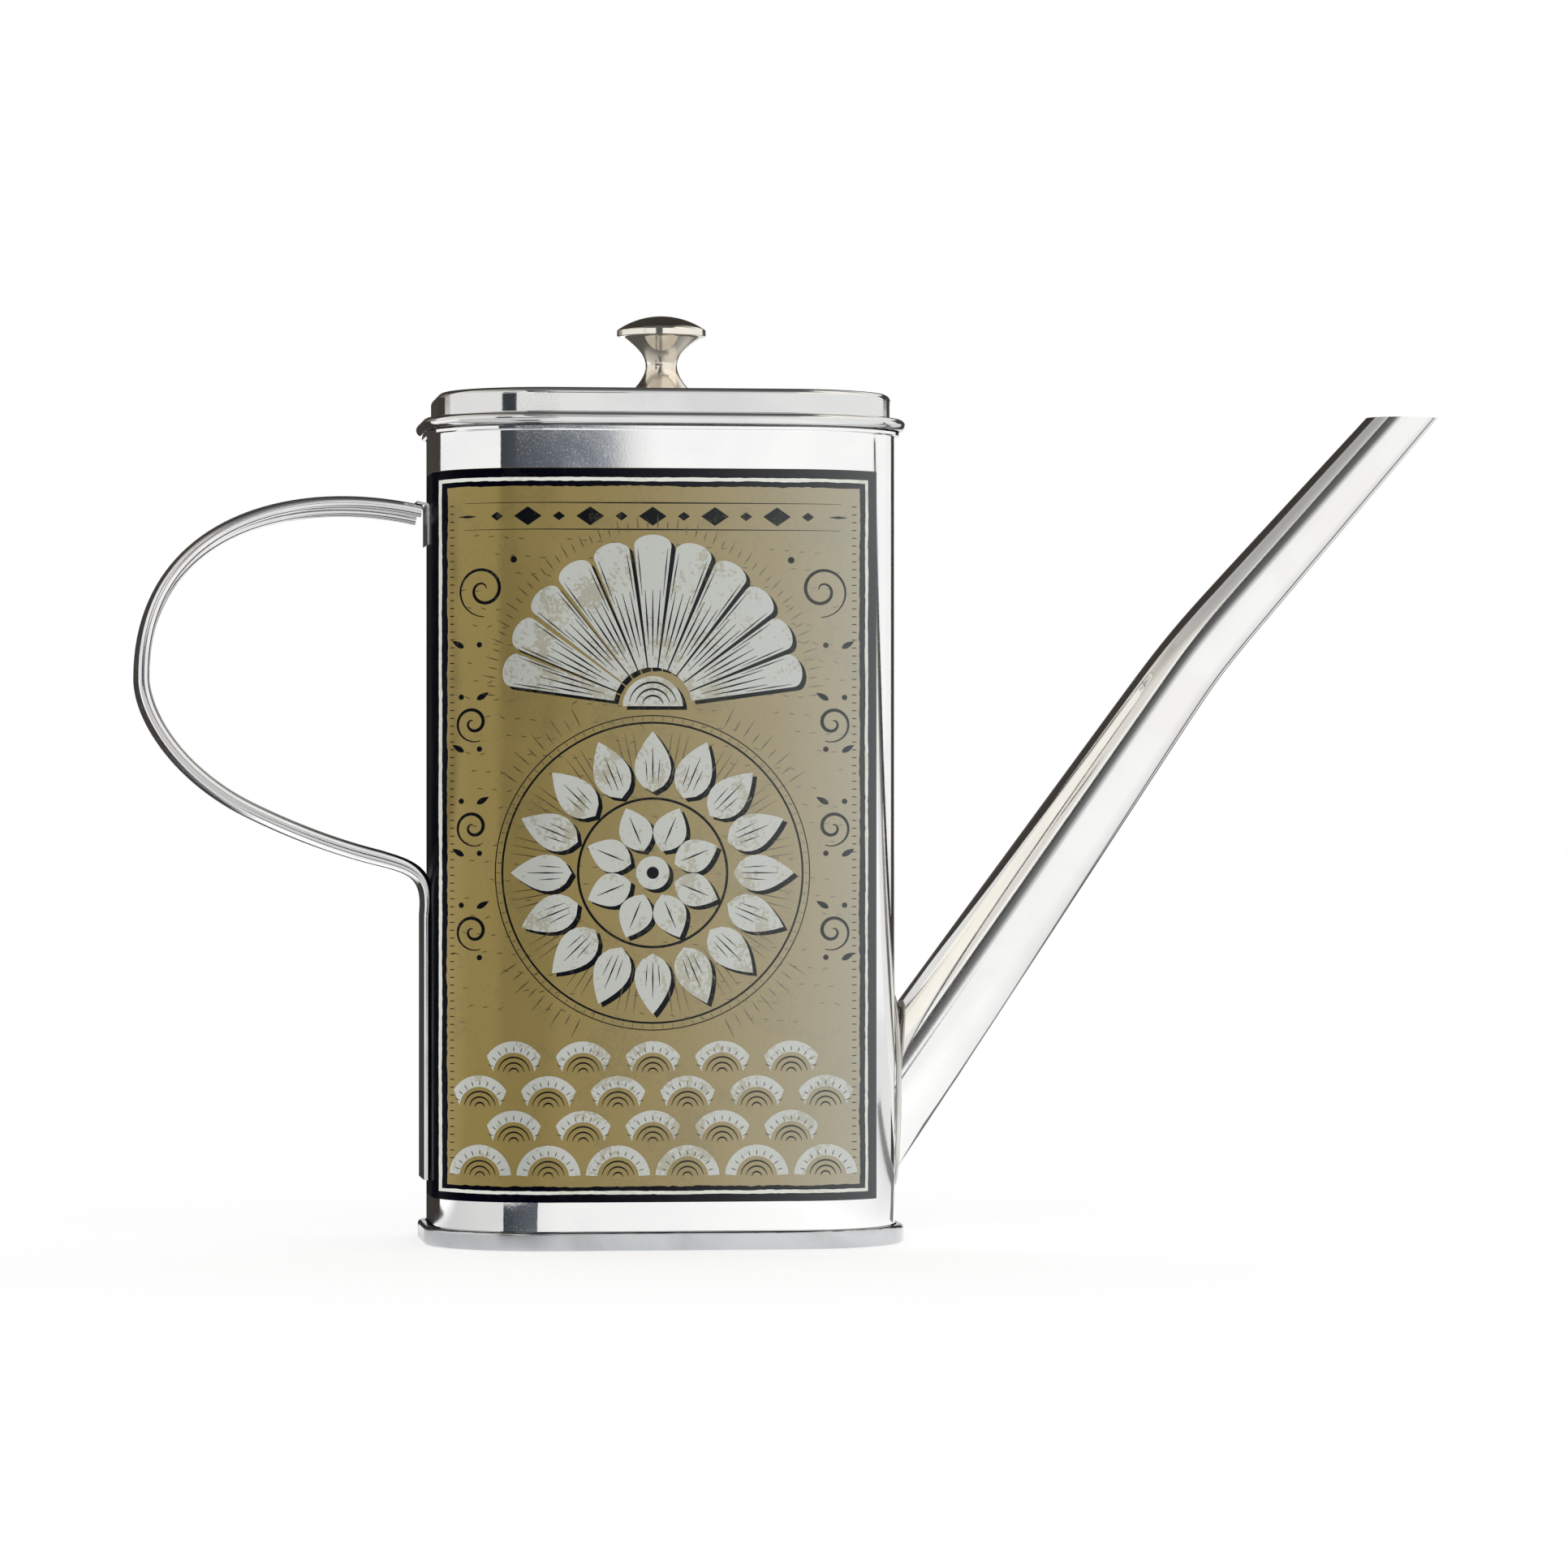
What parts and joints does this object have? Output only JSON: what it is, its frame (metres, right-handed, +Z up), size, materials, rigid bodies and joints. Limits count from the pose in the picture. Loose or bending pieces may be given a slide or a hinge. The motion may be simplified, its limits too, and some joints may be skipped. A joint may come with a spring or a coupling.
{
  "type": "oil jug",
  "caption": "Flat-sided steel oil jug with a lift-off lid and turned knob, a long bent spout, a strap handle and a printed front panel.",
  "frame": {"origin": "on the table, under the middle of the whole jug from the handle's outermost point to the spout's tip", "axes": "+X from handle to spout, +Y from the printed front to the back, +Z up"},
  "size_m": [0.2433, 0.0638, 0.1706],
  "materials": {
    "wall_steel": "polished stainless steel",
    "base_steel": "dull tinned steel",
    "lid_steel": "polished stainless steel",
    "skirt_steel": "plain steel strip",
    "knob_nickel": "turned and nickel plated",
    "screw_zinc": "zinc plated",
    "washer_zinc": "zinc plated",
    "spout_steel": "polished stainless steel",
    "solder": "filed solder",
    "strap_steel": "satin stainless steel",
    "label_print": "printed lacquer"
  },
  "bodies": {
    "can": {"body_sleeve": "wall_steel", "base_pan": "base_steel", "spout_tube": "spout_steel", "spout_solder": "solder", "handle_strap": "strap_steel", "label_sheet": "label_print"},
    "lid": {"lid_cap": "lid_steel", "lid_skirt": "skirt_steel", "lid_knob": "knob_nickel", "knob_screw": "screw_zinc", "knob_washer": "washer_zinc"}
  },
  "joints": [
    {"name": "lid_lift", "type": "slide", "parent": "can", "child": "lid", "axis": [0, 0, 1], "range_m": [0, 0.04]}
  ]
}
